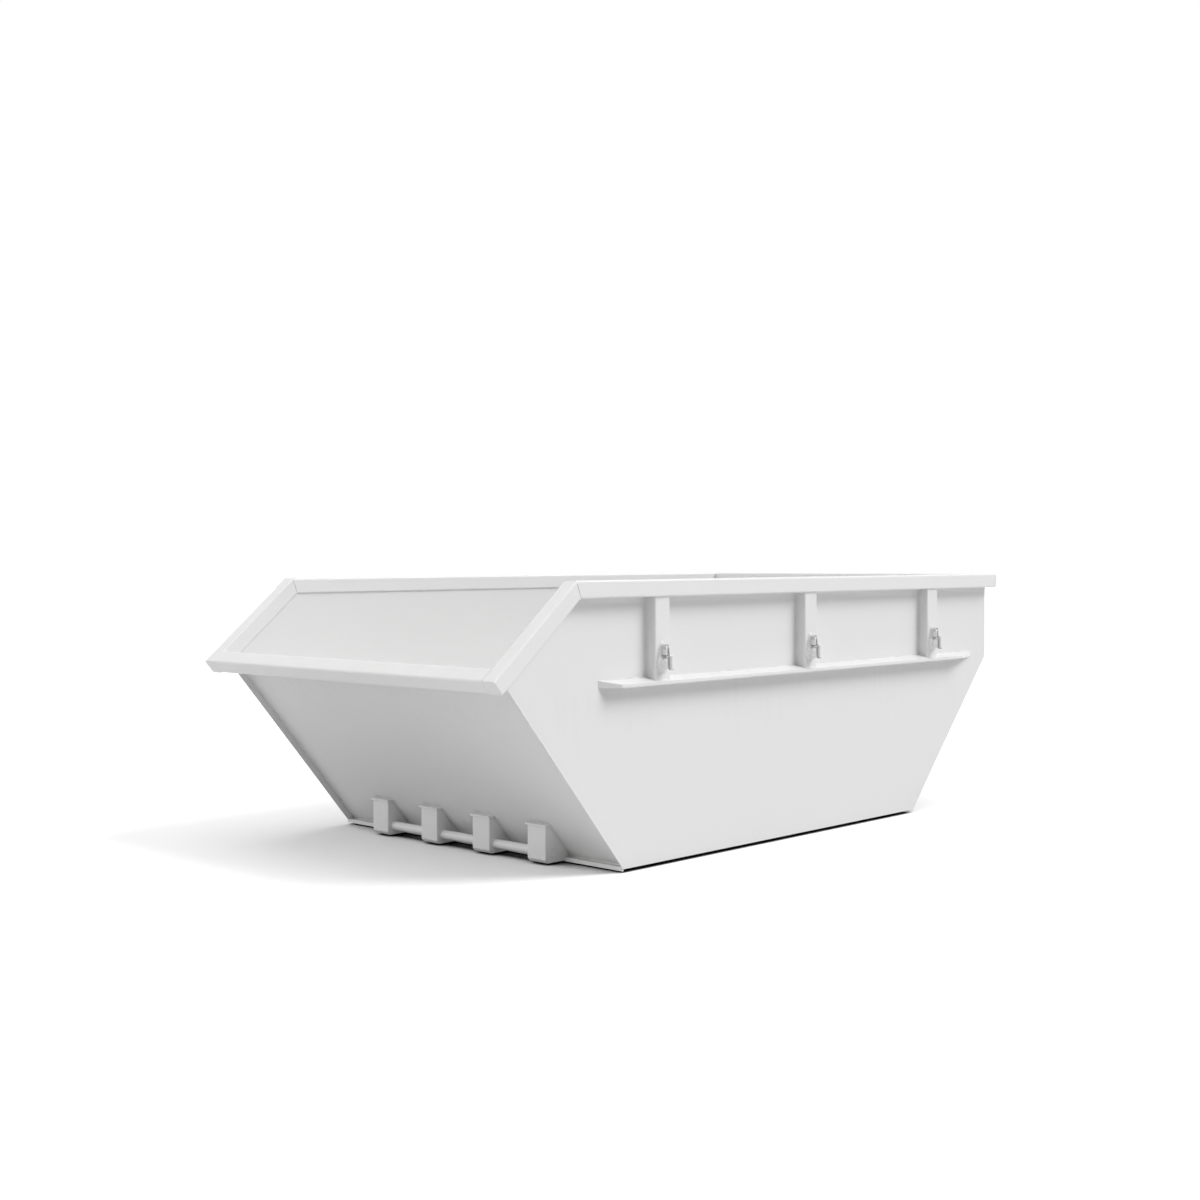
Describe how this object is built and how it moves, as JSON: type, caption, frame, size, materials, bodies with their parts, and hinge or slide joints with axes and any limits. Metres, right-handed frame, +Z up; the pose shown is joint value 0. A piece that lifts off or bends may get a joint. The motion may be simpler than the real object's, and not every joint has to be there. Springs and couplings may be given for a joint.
{
  "type": "waste container",
  "caption": "Open steel waste skip with sloping ends, a low front lip under a square-tube rim, side lifting pins with drop latches, and a tipping bar.",
  "frame": {"origin": "centre of the bounding box's underside, on the ground", "axes": "+X from the low front lip to the high rear end, +Y to the container's right-hand side, +Z up"},
  "size_m": [3.547, 2.0036, 1.178],
  "materials": {
    "shell_paint": "white enamel on sheet steel, light dust and hairline scuffs",
    "floor_paint": "white enamel worn by the load",
    "rim_paint": "white enamel on square tube, rubbed corners",
    "stiffener_paint": "white enamel on folded channel and bar",
    "lug_paint": "white enamel, rubbed by chain rings",
    "latch_zinc": "dull zinc plating",
    "hinge_steel": "bright plated steel",
    "tipping_paint": "light grey-white enamel, rubbed by tipping hooks",
    "skid_paint": "scraped enamel"
  },
  "bodies": {
    "container": {"floor_plate": "floor_paint", "front_sill": "stiffener_paint", "left_skid": "skid_paint", "middle_skid": "skid_paint", "right_skid": "skid_paint", "left_side_plate": "shell_paint", "right_side_plate": "shell_paint", "front_sheet": "shell_paint", "rear_slope_sheet": "shell_paint", "rear_wall_sheet": "shell_paint", "left_top_rail": "rim_paint", "right_top_rail": "rim_paint", "left_slant_rail": "rim_paint", "right_slant_rail": "rim_paint", "front_lip_rail": "rim_paint", "rear_rail": "rim_paint", "rail_end_caps": "rim_paint", "left_ledge": "stiffener_paint", "right_ledge": "stiffener_paint", "left_front_post": "stiffener_paint", "left_middle_post": "stiffener_paint", "left_rear_post": "stiffener_paint", "right_front_post": "stiffener_paint", "right_middle_post": "stiffener_paint", "right_rear_post": "stiffener_paint", "left_rear_rib": "stiffener_paint", "right_rear_rib": "stiffener_paint", "left_front_lug_plate": "lug_paint", "left_middle_lug_plate": "lug_paint", "left_rear_lug_plate": "lug_paint", "right_front_lug_plate": "lug_paint", "right_middle_lug_plate": "lug_paint", "right_rear_lug_plate": "lug_paint", "left_front_lifting_pin": "lug_paint", "left_middle_lifting_pin": "lug_paint", "left_rear_lifting_pin": "lug_paint", "right_front_lifting_pin": "lug_paint", "right_middle_lifting_pin": "lug_paint", "right_rear_lifting_pin": "lug_paint", "left_front_hinge_pin": "hinge_steel", "left_middle_hinge_pin": "hinge_steel", "left_rear_hinge_pin": "hinge_steel", "right_front_hinge_pin": "hinge_steel", "right_middle_hinge_pin": "hinge_steel", "right_rear_hinge_pin": "hinge_steel", "tipping_bar": "tipping_paint", "outer_left_tipping_bracket": "tipping_paint", "inner_left_tipping_bracket": "tipping_paint", "inner_right_tipping_bracket": "tipping_paint", "outer_right_tipping_bracket": "tipping_paint", "tipping_bracket_caps": "tipping_paint"},
    "left_front_latch": {"left_front_drop_latch": "latch_zinc"},
    "left_middle_latch": {"left_middle_drop_latch": "latch_zinc"},
    "left_rear_latch": {"left_rear_drop_latch": "latch_zinc"},
    "right_front_latch": {"right_front_drop_latch": "latch_zinc"},
    "right_middle_latch": {"right_middle_drop_latch": "latch_zinc"},
    "right_rear_latch": {"right_rear_drop_latch": "latch_zinc"}
  },
  "joints": [
    {"name": "left_front_latch_swing", "type": "hinge", "parent": "container", "child": "left_front_latch", "pos_m": [-0.8385, -0.968, 0.903], "axis": [-1, 0, 0], "range_deg": [0, 90]},
    {"name": "left_middle_latch_swing", "type": "hinge", "parent": "container", "child": "left_middle_latch", "pos_m": [0.1695, -0.968, 0.903], "axis": [-1, 0, 0], "range_deg": [0, 90]},
    {"name": "left_rear_latch_swing", "type": "hinge", "parent": "container", "child": "left_rear_latch", "pos_m": [1.1775, -0.968, 0.903], "axis": [-1, 0, 0], "range_deg": [0, 90]},
    {"name": "right_front_latch_swing", "type": "hinge", "parent": "container", "child": "right_front_latch", "pos_m": [-0.8385, 0.968, 0.903], "axis": [1, 0, 0], "range_deg": [0, 90]},
    {"name": "right_middle_latch_swing", "type": "hinge", "parent": "container", "child": "right_middle_latch", "pos_m": [0.1695, 0.968, 0.903], "axis": [1, 0, 0], "range_deg": [0, 90]},
    {"name": "right_rear_latch_swing", "type": "hinge", "parent": "container", "child": "right_rear_latch", "pos_m": [1.1775, 0.968, 0.903], "axis": [1, 0, 0], "range_deg": [0, 90]}
  ]
}
